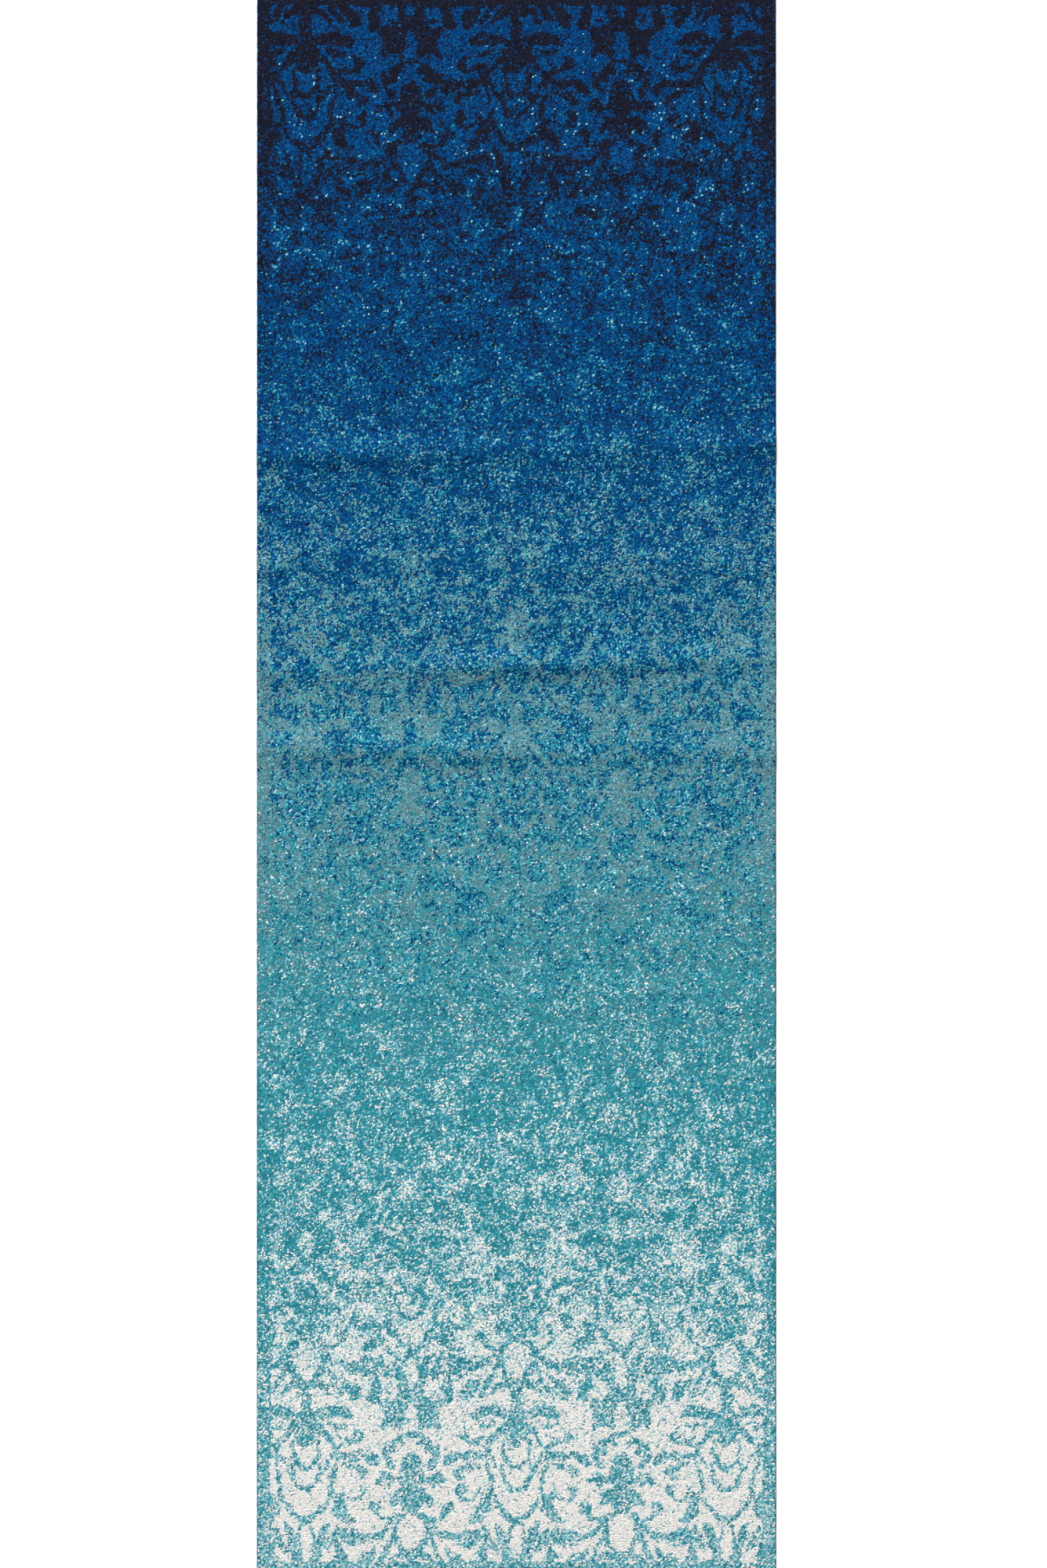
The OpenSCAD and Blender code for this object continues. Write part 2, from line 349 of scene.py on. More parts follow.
def stroke(canvas, fullness, points, widths):
    """Draws one stroke on a canvas of 1 mm cells: the curve is the polynomial through the points,
    and a cell's value is how deep it lies inside the row of discs along that curve."""
    path = np.column_stack([points, widths]).astype(float)
    count = len(path)
    if count > 1:
        factors = np.polynomial.polynomial.polyfit(np.linspace(0, 1, count), path, count - 1)
        path = np.polynomial.polynomial.polyval(np.linspace(0, 1, SWEEP_STEPS), factors).T
    reach = path[:, 2].max() + SOFT
    low = np.maximum(path[:, :2].min(0) - reach + OVERLAP, 0).astype(int)
    high = (path[:, :2].max(0) + reach + OVERLAP + 1).astype(int)
    part = canvas[low[1]:high[1], low[0]:high[0]]
    y, x = np.mgrid[low[1]:low[1] + part.shape[0], low[0]:low[0] + part.shape[1]] - OVERLAP
    px, py, half = path.T[:, :, None, None]
    depth = (half - np.hypot(x - px, y - py)).max(0)
    np.maximum(part, fullness * np.clip(0.5 + depth / (2 * SOFT), 0, 1), out=part)


def half_repeat(strokes):
    """The half repeat as an array of 1 mm cells. What runs past an axis comes back mirrored, and
    what runs past a row's end goes on in the next row, which is set half a repeat over."""
    wide, high, over = int(HALF_WIDE) + 1, int(HALF_HIGH) + 1, OVERLAP
    canvas = np.zeros((high + 2 * over, wide + 2 * over))
    for fullness, points, widths in strokes:
        stroke(canvas, fullness, points, widths)
    core = canvas[:, over:over + wide].copy()
    left, right = core[:, 1:over + 1], core[:, wide - over - 1:wide - 1]
    np.maximum(left, canvas[:, over - 1::-1][:, :over], out=left)
    np.maximum(right, canvas[:, :-over - 1:-1], out=right)
    tile = core[over:over + high].copy()
    bottom, top = tile[1:over + 1], tile[high - over - 1:high - 1]
    np.maximum(top, core[:over, ::-1], out=top)
    np.maximum(bottom, core[-over:, ::-1], out=bottom)
    return tile


def damask(x, y):
    """How full of ink the place is, from 0 to 1. The rows start at the light end, and the rug's
    centre line is axis B of the first row."""
    tile = half_repeat(INK_STROKES) * (1 - half_repeat(FIELD_STROKES))
    along = (y + RUG_L / 2) / MM
    row = np.floor(along / HALF_HIGH)
    across = np.abs((x / MM + HALF_WIDE) % (2 * HALF_WIDE) - HALF_WIDE)
    across = np.where(row % 2 == 0, HALF_WIDE - across, across)
    cells = (along - row * HALF_HIGH).astype(int), across.round().astype(int)
    return tile[cells]


def smooth_noise(shape, reach):
    """Random values with mean 0 and spread 1, blurred with a bell curve over reach metres."""
    fy, fx = np.fft.fftfreq(shape[0])[:, None], np.fft.rfftfreq(shape[1])[None]
    blur = np.exp(-2 * np.pi ** 2 * ((fx * reach / STEP_X) ** 2 + (fy * reach / STEP_Y) ** 2))
    value = np.fft.irfft2(np.fft.rfft2(RNG.standard_normal(shape)) * blur, s=shape)
    return (value - value.mean()) / value.std()


def is_ink(x, y):
    """Whether each tuft is ink: its place, shifted a little, is looked up in the damask, and the
    bar for ink wanders with the wear. The border is ink all round."""
    shape = x.shape
    worn = np.interp(0.5 - y / RUG_L, *zip(*WEAR))
    shift = (1 + 1.5 * worn) * MM
    x = x + shift * smooth_noise(shape, 4 * MM)
    y = y + shift * smooth_noise(shape, 4 * MM)
    bar = np.interp(0.5 - y / RUG_L, *zip(*INK_BAR)) + 0.1 * RNG.standard_normal(shape)
    bar += worn * (0.2 * smooth_noise(shape, 3 * MM) + 0.22 * RNG.standard_normal(shape))
    inside_y = np.clip(y, -RUG_L / 2, RUG_L / 2 - MM)
    border = (np.abs(x) > RUG_W / 2 - SIDE_BORDER) | (np.abs(y) > RUG_L / 2 - END_BORDER)
    return (damask(x, inside_y) > bar) | border


def pick_yarns(x, y):
    """The number of each tuft's yarn. The recipe of its place gives each yarn's share, and a draw
    from 0 to 1, which is partly alike for neighbours, falls into one of them."""
    place = 0.5 - y[:, 0] / RUG_L
    shares = []
    for part in (1, 2):
        share = np.stack([np.interp(place, *zip(*yarn[part])) for yarn in YARNS.values()], -1)
        shares.append((share / share.sum(-1, keepdims=True)).cumsum(-1))
    ink = is_ink(x, y)
    limit = np.where(ink[..., None], shares[0][:, None], shares[1][:, None])
    patchy = np.interp(place, *zip(*PATCHES))[:, None]
    draw = RNG.standard_normal(x.shape)
    draw += patchy * (0.35 * smooth_noise(x.shape, 3.5 * MM) + 0.3 * smooth_noise(x.shape, 9 * MM))
    rank = np.empty(draw.size)
    rank[np.argsort(draw, axis=None)] = (np.arange(draw.size) + 0.5) / draw.size
    return (rank.reshape(x.shape)[..., None] > limit).sum(-1).clip(0, len(YARNS) - 1)


# ---------------------------------------------------------------- the tufts


def tuft_places():
    """The middle of each tuft's cut end: rows along the rug, each set half a step over from the
    last, filling the pile's outline."""
    half = (PILE_HIGH - PILE_LOW)[:2] / 2 - CAP_SHORT * 0.62
    columns, rows = (2 * half / (STEP_X, STEP_Y)).astype(int)
    x = np.linspace(-half[0] + STEP_X / 4, half[0] - STEP_X / 4, columns)
    y = np.linspace(-half[1], half[1], rows)
    x, y = np.meshgrid(x, y)
    x[::2] += STEP_X / 4
    x[1::2] -= STEP_X / 4
    return x, y


def tuft_shapes(x, y):
    """Points of all tufts, four each: a root in the ground, and the three corners of a cut end that
    is turned and tipped at random. At the rug's rim the ends sink a little and the tufts lean out
    over the edge."""
    count = len(x)
    rim = np.array([RUG_W / 2 - np.abs(x), RUG_L / 2 - np.abs(y)]).min(0)
    fall = np.clip(1 - rim / (5 * MM), 0, 1) ** 2
    x = x + TUFT_SHIFT * RNG.uniform(-1, 1, count)
    y = y + TUFT_SHIFT * RNG.uniform(-1, 1, count)
    lean = NAP[:, None] + NAP_STRAY * RNG.standard_normal((2, count)).clip(-2, 2)
    root_x = np.clip(x - lean[0], -INNER_X + MM, INNER_X - MM)
    root_y = np.clip(y - lean[1], -COAT_END + MM, COAT_END - MM)
    corner = RNG.uniform(0, tau, count)[:, None] + np.arange(3) * tau / 3
    size = RNG.uniform(0.85, 1.15, (2, count, 3)) * np.array([CAP_LONG, CAP_SHORT])[:, None, None]
    long, short = size[0] * np.cos(corner), size[1] * np.sin(corner)
    turn = CAP_TURN + 0.35 * RNG.standard_normal((count, 1))
    dx, dy = long * np.cos(turn) - short * np.sin(turn), long * np.sin(turn) + short * np.cos(turn)
    tip = RNG.normal(0, 0.13, (2, count, 1))
    top = GROUND_Z + PILE_HEIGHT * (0.95 - 0.3 * fall) + RNG.normal(0, 0.12, count) * MM
    cap_z = top[:, None] + tip[0] * dx + tip[1] * dy - 0.5 * fall[:, None] * np.hypot(dx, dy)
    points = np.empty((count, 4, 3))
    points[:, 0] = np.stack([root_x, root_y, np.full(count, GROUND_Z - 0.3 * MM)], -1)
    points[:, 1:] = np.stack([x[:, None] + dx, y[:, None] + dy, cap_z], -1)
    limit = np.array([PILE_HIGH[0], PILE_HIGH[1]])
    points[:, :, :2] = points[:, :, :2].clip(-limit, limit)
    points[:, :, 2] += drape(points[:, :, 0], points[:, :, 1])
    return points


TUFT_CORNERS = np.array([[1, 2, 3], [2, 1, 0], [3, 2, 0], [1, 3, 0]])
CAP_ROUND = 0.35 * MM  # how much higher the middle of a cut end looks than its edge


def make_pile():
    """One piece for each yarn, or two or three along the rug where one would be too large."""
    x, y = tuft_places()
    yarn = pick_yarns(x, y).ravel()
    x, y = x.ravel(), y.ravel()
    points = tuft_shapes(x, y)
    # A tuft's tone: random, with a rare light tail of painted glints, and a random painted shade across its cut
    # end's corners
    tone = RNG.beta(1.6, 3, len(x))[:, None] + RNG.uniform(-CORNER_TONE, CORNER_TONE, (len(x), 4))
    pieces = []
    for number, (name, (colour, *_)) in enumerate(YARNS.items()):
        mine = np.flatnonzero(yarn == number)
        material = yarn_material(name, colour)
        parts = -(-len(mine) // MOST_TUFTS)
        for part, chosen in enumerate(np.array_split(mine, parts)):
            faces = (np.arange(len(chosen))[:, None, None] * 4 + TUFT_CORNERS).reshape(-1, 3)
            shape = points[chosen].reshape(-1, 3)
            low, span = shape[:, :2].min(0), np.ptp(shape[:, :2], axis=0)
            title = f"pile_{name}" if parts == 1 else f"pile_{name}_{part + 1}"
            shares = np.tile(np.eye(4, 3, -1), (len(chosen), 1))
            smooth = np.tile([False, True, True, True], len(chosen))
            piece = make_piece(title, shape, faces, material, (shape[:, :2] - low) / span, smooth,
                               tone=tone[chosen].ravel(), corners=shares)
            pieces.append(settle(piece, "pile", "pile"))
    return pieces


BED_RISE = 0.5  # the share of the pile's height that the bed fills
BED_RIB = 0.3 * MM
GROUND_COLUMNS = 13  # across the bed and across the ground cloth
BED_STATIONS = 9


def make_bed():
    """The mass of yarn under the cut ends: a closed slab whose section across the rug flares from
    its foot to its top, carried along the rug, with each second row of its two sides set in like
    tufts side by side."""
    rows = int(2 * COAT_END / STEP_Y) + 1
    y = np.linspace(0.3 * MM - COAT_END, COAT_END - 0.3 * MM, rows)[:, None]
    across = np.linspace(-1, 1, GROUND_COLUMNS)
    upper = np.arange(2 * GROUND_COLUMNS) >= GROUND_COLUMNS
    half = np.where(upper, RUG_W / 2 - 2.6 * MM, INNER_X - 0.2 * MM) - BED_RIB * (np.arange(rows) % 2)[:, None]
    x = np.concatenate([across[::-1], across]) * half
    z = drape(x, y) + GROUND_Z + np.where(upper, BED_RISE * PILE_HEIGHT, -0.3 * MM)
    x, y, z = np.broadcast_arrays(x, y, z)
    points = np.stack([x, y, z], -1).reshape(-1, 3)
    uv = np.stack([0.245 * (x / x.max() + 1) + 0.5 * upper, y / (2 * COAT_END) + 0.5], -1)
    piece = make_piece("pile_bed", points, sleeve_faces(rows, 2 * GROUND_COLUMNS), bed_material(),
                       uv.reshape(-1, 2))
    return settle(piece, "pile", "pile")


# ---------------------------------------------------------------- ground, edges, tapes and label

COAT_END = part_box("weft_upper")[1][1]
RIB_STEP = 5 * MM  # from one lower shot to the next
RIB_HEIGHT = 0.22 * MM
BACK_Z = 0.38 * MM  # the cloth's lowest ribs, which the label and the tapes cover
RIB_POINTS = 4

def make_ground():
    """The ground cloth, a closed slab: its section across the rug has equally spaced points along
    the underside and the upper face, and it is carried along the rug. The underside rises between
    the lower shots as a raised cosine."""
    rows = int(2 * COAT_END / RIB_STEP) * RIB_POINTS + 1
    across = np.linspace(-INNER_X - 0.6 * MM, INNER_X + 0.6 * MM, GROUND_COLUMNS)
    x = np.concatenate([across[::-1], across])
    y = np.linspace(-COAT_END, COAT_END, rows)[:, None]
    x, y = np.broadcast_arrays(x, y)
    rib = RIB_HEIGHT * (0.5 - 0.5 * np.cos(tau * (y - y[0]) / RIB_STEP))
    under = np.arange(2 * GROUND_COLUMNS) < GROUND_COLUMNS
    z = drape(x, y) + np.where(under, BACK_Z + rib, GROUND_Z)
    points = np.stack([x, y, z], -1).reshape(-1, 3)
    faces = sleeve_faces(rows, 2 * GROUND_COLUMNS)
    side = np.where(under, 0.0, 0.5) + (x / (2 * INNER_X + 2 * MM) + 0.5) * 0.49
    uv = np.stack([side.ravel(), ((y + COAT_END) / (2 * COAT_END)).ravel()], -1)
    piece = make_piece("ground_cloth", points, faces, ground_material(), uv)
    hidden = ["back_coat", "weft_lower", "weft_upper", "stuffer_warps", "binding_warps",
              "selvedge_cord_left", "selvedge_cord_right"]
    return settle(piece, "back_coat", *hidden)


TURN_STEP = 2.6 * MM  # along the edge, from one turn of the serging yarn to the next
TURN_POINTS = 4
TURN_DEPTH = 0.17 * MM
SECTION_POINTS = 10


def make_serging(side, name):
    """Yarn wound round one long side: the section is a squarish oval, carried along the rug, and
    its radius swells and shrinks with each turn, which runs slantwise round the edge."""
    low, high = SERGE_LOW, SERGE_HIGH
    rows = int(RUG_L / TURN_STEP) * TURN_POINTS + 1
    y = np.linspace(low[1], high[1], rows)[:, None]
    angle = np.linspace(0, tau, SECTION_POINTS, endpoint=False)[None]
    half = np.array([high[0] - low[0], high[2] - low[2]]) / 2
    middle = np.array([high[0] + low[0], high[2] + low[2]]) / 2
    swell = np.abs(np.sin(pi * (y - low[1]) / TURN_STEP + angle / 2))
    shrink = 1 - TURN_DEPTH / half[1] * (1 - swell)
    bow = 0.12 * MM * np.sin(tau * y / 0.019 + 1.3 * np.sin(tau * y / 0.083))
    c, s = np.cos(angle), np.sin(angle)
    x = middle[0] + half[0] * shrink * np.sign(c) * np.abs(c) ** 0.75 + bow * (c > 0)
    z = middle[1] + half[1] * shrink * np.sign(s) * np.abs(s) ** 0.75
    x, z, y = np.broadcast_arrays(side * np.minimum(x, high[0]), z, y)
    z = z + drape(x, y)
    points = np.stack([x, y, z], -1).reshape(-1, 3)
    faces = sleeve_faces(rows, SECTION_POINTS)
    faces = faces if side < 0 else faces[:, ::-1]
    along = ((y - low[1]) / (high[1] - low[1])).ravel()
    around = np.broadcast_to(angle / tau, x.shape).ravel()
    piece = make_piece(name + "_yarn", points, faces, serging_material(), strip_map(faces, along, around, 24),
                       turn=(y - low[1]).ravel() / TURN_STEP + around)
    return settle(piece, "serging", name)


TAPE_COLUMNS = 160


def make_tape(end, name, colour):
    """The tape of one end: a thin closed strip whose section runs under the weave and turns up
    over the cut end. Its two faces are the middle line moved by half the tape's thickness."""
    inner, outer = TAPE_LOW[1], TAPE_HIGH[1]
    thick, rise = 0.5 * MM, GROUND_Z
    bend = 0.9 * MM
    corner = np.linspace(0, pi / 2, 5)
    line_y = np.concatenate([np.linspace(inner, outer - bend, 9)[:-1], outer - bend + bend * np.sin(corner),
                             [outer, outer]])
    line_z = np.concatenate([np.zeros(8), bend - bend * np.cos(corner), [rise * 0.6, rise]])
    normal_y = np.concatenate([np.zeros(8), np.sin(corner), [1, 1]])
    normal_z = np.concatenate([np.full(8, -1.0), -np.cos(corner), [0, 0]])
    section_y = np.concatenate([line_y, (line_y - thick * normal_y)[::-1]])
    section_z = np.concatenate([line_z, (line_z - thick * normal_z)[::-1]])
    x = np.linspace(-INNER_X, INNER_X, TAPE_COLUMNS)[:, None]
    pucker = 0.06 * MM * np.sin(tau * x / (5.5 * MM)) * (section_z < thick * 1.5)
    x, y, z = np.broadcast_arrays(x, end * section_y, section_z + np.abs(pucker))
    z = z + drape(x, y)
    faces = sleeve_faces(TAPE_COLUMNS, len(section_y))
    faces = faces[:, ::-1] if end > 0 else faces
    along = ((x + INNER_X) / (2 * INNER_X)).ravel()
    around = np.broadcast_to(np.linspace(0, 0.999, len(section_y)), x.shape).ravel()
    piece = make_piece(name + "_cloth", np.stack([x, y, z], -1), faces, tape_material(name, colour),
                       strip_map(faces, along, around, 8))
    return settle(piece, "tape_dark" if end > 0 else "tape_light", name)


THREAD = 0.17 * MM  # radius of the sewing thread


def threads(centres, length, name, slot, colour):
    """Short stitches across the rug: each is a small closed tube, bowed down in the middle like
    half a sine wave, and its ends run up into the cloth."""
    t = np.linspace(0, 1, 6)
    angle = np.linspace(0, tau, 6, endpoint=False)
    bow = 0.35 * MM * (1 - np.sin(pi * t))
    ring_x = centres[:, None, None, 0] + (t[:, None] - 0.5) * length + 0 * angle
    ring_y = centres[:, None, None, 1] + THREAD * np.cos(angle) + 0 * t[:, None]
    ring_z = THREAD * (1 + np.sin(angle)) + bow[:, None] + 0 * centres[:, None, None, 0]
    points = np.stack(np.broadcast_arrays(ring_x, ring_y, ring_z + drape(ring_x, ring_y)), -1)
    one = sleeve_faces(6, 6)
    faces = (np.arange(len(centres))[:, None, None] * 36 + one).reshape(-1, 4)[:, ::-1]
    uv = np.stack([points[..., 0].ravel(), points[..., 2].ravel() * 100], -1)
    low, span = uv.min(0), np.ptp(uv, axis=0)
    piece = make_piece(name + "_thread", points, faces, thread_material(name, colour), (uv - low) / span)
    return settle(piece, slot, name)


def make_stitches(end, name, colour):
    """A row of stitches along the inner edge of an end's tape."""
    low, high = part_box(name)
    step = 5.5 * MM
    count = int((high.x - low.x) / step)
    x = (np.arange(count) - (count - 1) / 2) * step
    centres = np.column_stack([x, np.full(count, (low.y + high.y) / 2)])
    return threads(centres, 4.4 * MM, name, "thread", colour)


def make_label():
    """The blank label: a thin closed strip across the rug, lifted a little in a faint ripple along
    the rug. The stitches hold its upper edge."""
    columns, rows = 9, 15
    x = np.linspace(LABEL_LOW[0], LABEL_HIGH[0], columns)
    y = np.linspace(LABEL_LOW[1], LABEL_HIGH[1], rows)[:, None]
    thick = LABEL_HIGH[2] - LABEL_LOW[2]
    x = np.concatenate([x[::-1], x])
    upper = np.arange(2 * columns) >= columns
    x, y = np.broadcast_arrays(x, y)
    wave = 0.05 * MM * np.sin(tau * (y - LABEL_LOW[1]) / 0.03)
    z = drape(x, y) + np.where(upper, thick, 0) + np.abs(wave)
    faces = sleeve_faces(rows, 2 * columns)
    uv = np.stack([(x - x.min()) / np.ptp(x) * 0.5 + 0.5 * upper, (y - y.min()) / np.ptp(y)], -1)
    piece = make_piece("care_label_ribbon", np.stack([x, y, z], -1), faces, label_material(), uv.reshape(-1, 2))
    return settle(piece, "label", "care_label")


def make_label_stitches():
    """The stitches that hold the label."""
    low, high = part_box("label_stitches")
    x = np.linspace(low.x + 2 * MM, high.x - 2 * MM, 5)
    centres = np.column_stack([x, np.full(5, (low.y + high.y) / 2)])
    return threads(centres, 4 * MM, "label_stitches", "thread", (0.62, 0.63, 0.62))


# ---------------------------------------------------------------- materials


def linear(colour):
    """An sRGB colour as Blender's linear one."""
    c = np.asarray(colour, float)
    return tuple(np.where(c <= 0.04045, c / 12.92, ((c + 0.055) / 1.055) ** 2.4)) + (1.0,)


class Nodes:
    """Short words for building a material's nodes."""

    def __init__(self, name, roughness=0.8, sheen=0.0, specular=0.3):
        self.material = bpy.data.materials.new(name)
        self.material.use_nodes = True
        self.tree = self.material.node_tree
        self.shader = self.tree.nodes["Principled BSDF"]
        self.shader.inputs["Roughness"].default_value = roughness
        self.shader.inputs["Sheen Weight"].default_value = sheen
        self.shader.inputs["Sheen Roughness"].default_value = 0.6
        self.shader.inputs["Specular IOR Level"].default_value = specular

    def new(self, kind, **settings):
        """A node with its settings, and its inputs set or linked by their names or numbers."""
        node = self.tree.nodes.new("ShaderNode" + kind)
        links = settings.pop("inputs", {})
        for key, value in settings.items():
            setattr(node, key, value)
        for key, value in links.items():
            self.put(node.inputs[key], value)
        return node

    def put(self, socket, value):
        """Links the socket if the value is another socket, and sets it if not."""
        if isinstance(value, bpy.types.NodeSocket):
            self.tree.links.new(value, socket)
        else:
            socket.default_value = value

    def math(self, operation, a, b=0.0):
        return self.new("Math", operation=operation, inputs={0: a, 1: b}).outputs[0]

    def mix(self, factor, a, b):
        node = self.new("Mix", data_type="RGBA", inputs={0: factor, 6: a, 7: b})
        return node.outputs[2]

    def scale(self, colour, factor):
        node = self.new("VectorMath", operation="SCALE", inputs={0: colour, "Scale": factor})
        return node.outputs[0]

    def noise(self, vector, scale, detail=2.0, roughness=0.5):
        node = self.new("TexNoise", inputs={"Vector": vector, "Scale": scale, "Detail": detail,
                                            "Roughness": roughness})
        return node.outputs["Fac"]

    def wave(self, vector, period, direction, distortion=0.0):
        """Smooth bands, one to each period in metres."""
        node = self.new("TexWave", bands_direction=direction,
                        inputs={"Vector": vector, "Scale": tau / 20 / period, "Distortion": distortion})
        return node.outputs["Fac"]

    def object_places(self, turn=0.0, stretch=(1, 1, 1)):
        places = self.new("TexCoord").outputs["Object"]
        return self.new("Mapping", inputs={"Vector": places, "Rotation": (0, 0, turn),
                                           "Scale": stretch}).outputs[0]

    def value(self, name):
        return self.new("Attribute", attribute_name=name).outputs["Fac"]

    def bump(self, height, depth, strength=1.0):
        node = self.new("Bump", inputs={"Height": height, "Distance": depth, "Strength": strength})
        self.put(self.shader.inputs["Normal"], node.outputs[0])

    def colour(self, socket):
        self.put(self.shader.inputs["Base Color"], socket)

    def roughness(self, factor, low, high):
        value = self.math("ADD", self.math("MULTIPLY", factor, high - low), low)
        self.put(self.shader.inputs["Roughness"], value)


def yarn_material(name, colour):
    """Heat-set pile yarn: each tuft lighter or darker, as random tone and as painted shade and glints,
    most of all in the dark yarns, its fibres streaked, and its root painted darker than its cut end,
    as shade. The corners' shares of a place add up to how near the cut end it is, and their product is
    highest in the cut end's middle, which the bump rounds up and which is painted lighter than its shaded edges."""
    m = Nodes(f"pile yarn {name}", roughness=0.8, specular=0.04)
    base = np.array(linear(colour)[:3])
    # The spread from dark to light holds random tone and painted shade and glints between tufts, widest in the dark
    # yarns
    spread = max(0.72 * (1 - base[1]) ** 2, 0.13)
    dark, light = (tuple(np.minimum(base * k, 0.93)) + (1.0,) for k in (1 - 0.8 * spread, 1 + 1.2 * spread))
    places = m.object_places(turn=CAP_TURN, stretch=(0.35, 1, 1))
    fibre = m.noise(places, 1500, detail=1.5)
    streak = m.math("MULTIPLY", m.math("SUBTRACT", fibre, 0.5), 1.5)
    tone = m.math("ADD", m.value("tone"), streak)
    corners = m.new("Attribute", attribute_name="corners").outputs["Vector"]
    a, b, c = m.new("SeparateXYZ", inputs={0: corners}).outputs
    tip = m.math("ADD", m.math("ADD", a, b), c)
    middle = m.math("MULTIPLY", m.math("MULTIPLY", a, b), m.math("MULTIPLY", c, 27.0))
    # The cut end's edges are painted darker and its middle lighter: painted shade and highlight of a rounded end
    shade = m.scale(m.mix(tone, dark, light), m.math("ADD", m.math("MULTIPLY", middle, 0.5), 0.78))
    # Painted shade: the yarn darkens towards its root, deep between the tufts
    root = tuple(base * 0.5) + (1.0,)
    m.colour(m.mix(tip, root, shade))
    m.roughness(fibre, 0.7, 0.9)
    m.bump(m.math("ADD", middle, m.math("MULTIPLY", fibre, 0.5)), CAP_ROUND, 1.0)
    return m.material


def bed_material():
    """The yarns deep in the pile: the border's mix of yarns along the rug, in shade, streaked."""
    m = Nodes("pile bed", roughness=0.9, specular=0.04)
    along = m.new("SeparateXYZ", inputs={0: m.object_places()}).outputs["Y"]
    place = m.math("SUBTRACT", 0.5, m.math("DIVIDE", along, float(RUG_L)))
    ramp = m.new("ValToRGB", inputs={0: place})
    colours = np.array([linear(yarn[0]) for yarn in YARNS.values()])
    stops = ramp.color_ramp.elements
    for station in np.linspace(0, 1, BED_STATIONS):
        share = np.array([np.interp(station, *zip(*yarn[1])) for yarn in YARNS.values()])
        stop = stops[0] if station == 0 else stops[-1] if station == 1 else stops.new(station)
        # Each stop is the ink's yarn mix halved: painted shade deep in the pile
        stop.color = tuple(share @ colours / share.sum() * (0.5, 0.5, 0.5, 1))
    fibre = m.noise(m.object_places(stretch=(1, 1, 0.2)), 1100, detail=2)
    m.colour(m.scale(ramp.outputs["Color"], m.math("SUBTRACT", 1.2, fibre)))
    m.roughness(fibre, 0.8, 0.95)
    m.bump(fibre, 0.3 * MM, 0.6)
    return m.material


def ground_material():
    """Jute shots under a thin latex size: brown ribs across the rug, finer warps along it, and
    patches where the size lies thicker."""
    m = Nodes("jute and latex size", roughness=0.72, specular=0.35)
    places = m.object_places()
    fibre = m.noise(m.object_places(stretch=(0.12, 1, 1)), 1800, detail=3)
    shots = m.wave(places, RIB_STEP, "Y")
    warps = m.wave(places, 5 * MM, "X", 0.6)
    patch = m.noise(places, 26, detail=4, roughness=0.65)
    jute = m.mix(fibre, linear((0.47, 0.36, 0.22)), linear((0.76, 0.64, 0.45)))
    sized = m.mix(m.math("MULTIPLY", patch, 0.75), jute, linear((0.80, 0.75, 0.62)))
    m.colour(m.mix(m.math("MULTIPLY", warps, 0.25), sized, linear((0.55, 0.47, 0.34))))
    m.roughness(patch, 0.5, 0.9)
    m.bump(m.math("ADD", m.math("MULTIPLY", warps, 0.6), m.math("ADD", fibre, m.math("MULTIPLY", shots, 0.2))),
           0.3 * MM, 0.7)
    return m.material


def serging_material():
    """Wrapped yarn: fibres run round the edge, each turn its own tone."""
    if "serging yarn" in bpy.data.materials:
        return bpy.data.materials["serging yarn"]
    m = Nodes("serging yarn", roughness=0.7, sheen=0.15, specular=0.3)
    turn = m.value("turn")
    row = m.math("FLOOR", turn)
    tone = m.new("TexWhiteNoise", noise_dimensions="1D", inputs={"W": row}).outputs["Value"]
    fibre = m.noise(m.object_places(turn=radians(12), stretch=(0.25, 1, 0.25)), 2600, detail=2)
    factor = m.math("ADD", m.math("MULTIPLY", tone, 0.45), m.math("MULTIPLY", fibre, 0.6))
    m.colour(m.mix(factor, linear((0.05, 0.16, 0.27)), linear((0.15, 0.40, 0.53))))
    groove = m.math("PINGPONG", turn, 0.5)
    m.roughness(fibre, 0.55, 0.85)
    m.bump(m.math("ADD", m.math("MULTIPLY", groove, 1.4), fibre), 0.3 * MM, 0.6)
    return m.material


def tape_material(name, colour):
    """Herringbone tape: two slanting waves that swap from one band to the next."""
    m = Nodes(name.replace("_", " "), roughness=0.75, sheen=0.1, specular=0.3)
    right = m.wave(m.object_places(turn=radians(45)), MM, "X")
    left = m.wave(m.object_places(turn=radians(-45)), MM, "X")
    band = m.math("GREATER_THAN", m.wave(m.object_places(), 12 * MM, "Y"), 0.5)
    twill = m.math("ADD", m.math("MULTIPLY", right, band),
                   m.math("MULTIPLY", left, m.math("SUBTRACT", 1.0, band)))
    base = np.array(linear(colour)[:3])
    dark, light = (tuple(base * k) + (1.0,) for k in (0.65, 1.25))
    fibre = m.noise(m.object_places(), 1500, detail=2)
    m.colour(m.mix(m.math("ADD", m.math("MULTIPLY", twill, 0.6), m.math("MULTIPLY", fibre, 0.4)), dark, light))
    m.roughness(fibre, 0.65, 0.9)
    m.bump(twill, 0.15 * MM, 0.6)
    return m.material


def thread_material(name, colour):
    """Two-ply sewing thread: a slanting twist in its colour and its bump."""
    m = Nodes(name.replace("_", " "), roughness=0.5, sheen=0.1, specular=0.4)
    twist = m.wave(m.object_places(turn=radians(35)), 0.35 * MM, "X")
    base = np.array(linear(colour)[:3])
    m.colour(m.mix(twist, tuple(base * 0.75) + (1.0,), tuple(np.minimum(base * 1.1, 0.95)) + (1.0,)))
    m.roughness(twist, 0.4, 0.65)
    m.bump(twist, 0.05 * MM, 0.5)
    return m.material


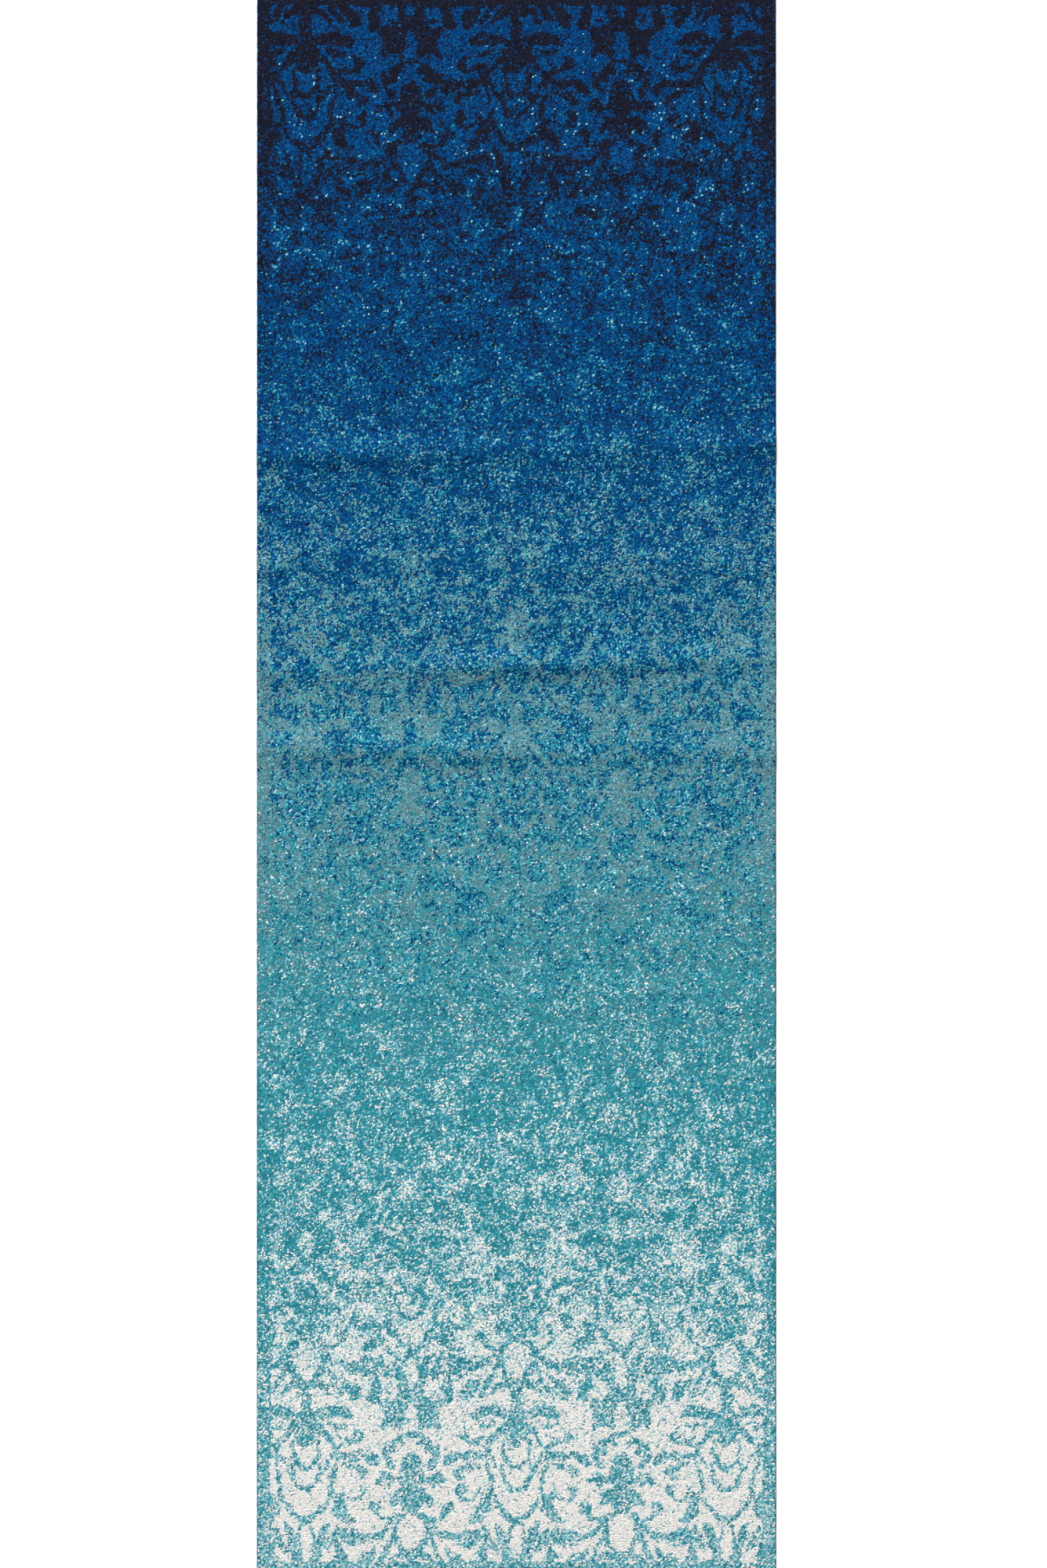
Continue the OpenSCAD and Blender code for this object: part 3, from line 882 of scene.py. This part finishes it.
def label_material():
    """Blank satin ribbon: fine threads across it and a soft sheen."""
    m = Nodes("label ribbon", roughness=0.45, sheen=0.1, specular=0.45)
    weave = m.wave(m.object_places(), 0.45 * MM, "Y")
    cross = m.wave(m.object_places(), 0.6 * MM, "X")
    cloud = m.noise(m.object_places(), 90, detail=3)
    tone = m.math("ADD", m.math("MULTIPLY", weave, 0.5), m.math("MULTIPLY", cloud, 0.5))
    m.colour(m.mix(tone, linear((0.86, 0.86, 0.84)), linear((0.95, 0.95, 0.94))))
    m.roughness(cloud, 0.35, 0.6)
    m.bump(m.math("ADD", weave, m.math("MULTIPLY", cross, 0.4)), 0.05 * MM, 0.5)
    return m.material


# ---------------------------------------------------------------- floor, light and camera

FLOOR_REACH = 60.0
LENS = 110
SENSOR = 36
IMAGE_HEIGHT = 2.431  # what the image shows of the rug's length, in metres
CAMERA_SIDE = 0.011  # the camera stands a little to the right of the rug's centre line


def make_floor():
    """A plain pale floor."""
    corners = np.array([(-1, -1, 0), (1, -1, 0), (1, 1, 0), (-1, 1, 0)]) * FLOOR_REACH
    m = Nodes("pale floor", roughness=0.9, specular=0.1)
    m.shader.inputs["Base Color"].default_value = (0.96, 0.96, 0.96, 1)
    floor = make_piece("floor", corners, [[0, 1, 2, 3]], m.material, smooth=False)
    floor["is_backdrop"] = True


def make_light():
    """A bright plain surround, and one broad soft lamp high over the light end's left side."""
    world = bpy.data.worlds.new("studio")
    world.use_nodes = True
    world.node_tree.nodes["Background"].inputs["Color"].default_value = (1.0, 1.0, 1.0, 1)
    world.node_tree.nodes["Background"].inputs["Strength"].default_value = 0.32
    bpy.context.scene.world = world
    lamp = bpy.data.lights.new("soft lamp", "AREA")
    lamp.shape, lamp.size, lamp.energy = "DISK", 4.8, 3350
    holder = bpy.data.objects.new("soft lamp", lamp)
    holder.location = (-1.8, 8.8, 8.8)
    toward = -np.array(holder.location)
    holder.rotation_euler = (np.arctan2(np.hypot(*toward[:2]), -toward[2]), 0,
                             np.arctan2(toward[1], toward[0]) - pi / 2)
    bpy.context.scene.collection.objects.link(holder)


def make_camera():
    """Straight down on the rug with a long lens, the dark end up."""
    data = bpy.data.cameras.new("camera")
    data.lens, data.sensor_width, data.sensor_fit = LENS, SENSOR, "AUTO"
    holder = bpy.data.objects.new("camera", data)
    half_angle = atan(SENSOR / 2 / LENS)
    distance = IMAGE_HEIGHT / 2 / (sin(half_angle) / cos(half_angle))
    holder.location = (CAMERA_SIDE, 0, RUG_H + distance)
    bpy.context.scene.collection.objects.link(holder)
    bpy.context.scene.camera = holder


def set_view():
    """Plain colours, as a product picture has."""
    settings = bpy.context.scene.view_settings
    settings.view_transform = "Standard"
    settings.look = "None"
    settings.exposure = 0.0


# ---------------------------------------------------------------- the whole rug

make_camera()
make_light()
make_floor()
set_view()
pile = make_pile()
ground = make_ground()
edges = [
    make_bed(),
    make_serging(1, "serging_right"),
    make_serging(-1, "serging_left"),
    make_tape(1, "tape_dark_end", (0.10, 0.11, 0.17)),
    make_tape(-1, "tape_light_end", (0.40, 0.66, 0.70)),
    make_stitches(1, "tape_stitches_dark_end", (0.22, 0.25, 0.33)),
    make_stitches(-1, "tape_stitches_light_end", (0.85, 0.87, 0.85)),
    make_label(),
    make_label_stitches(),
]
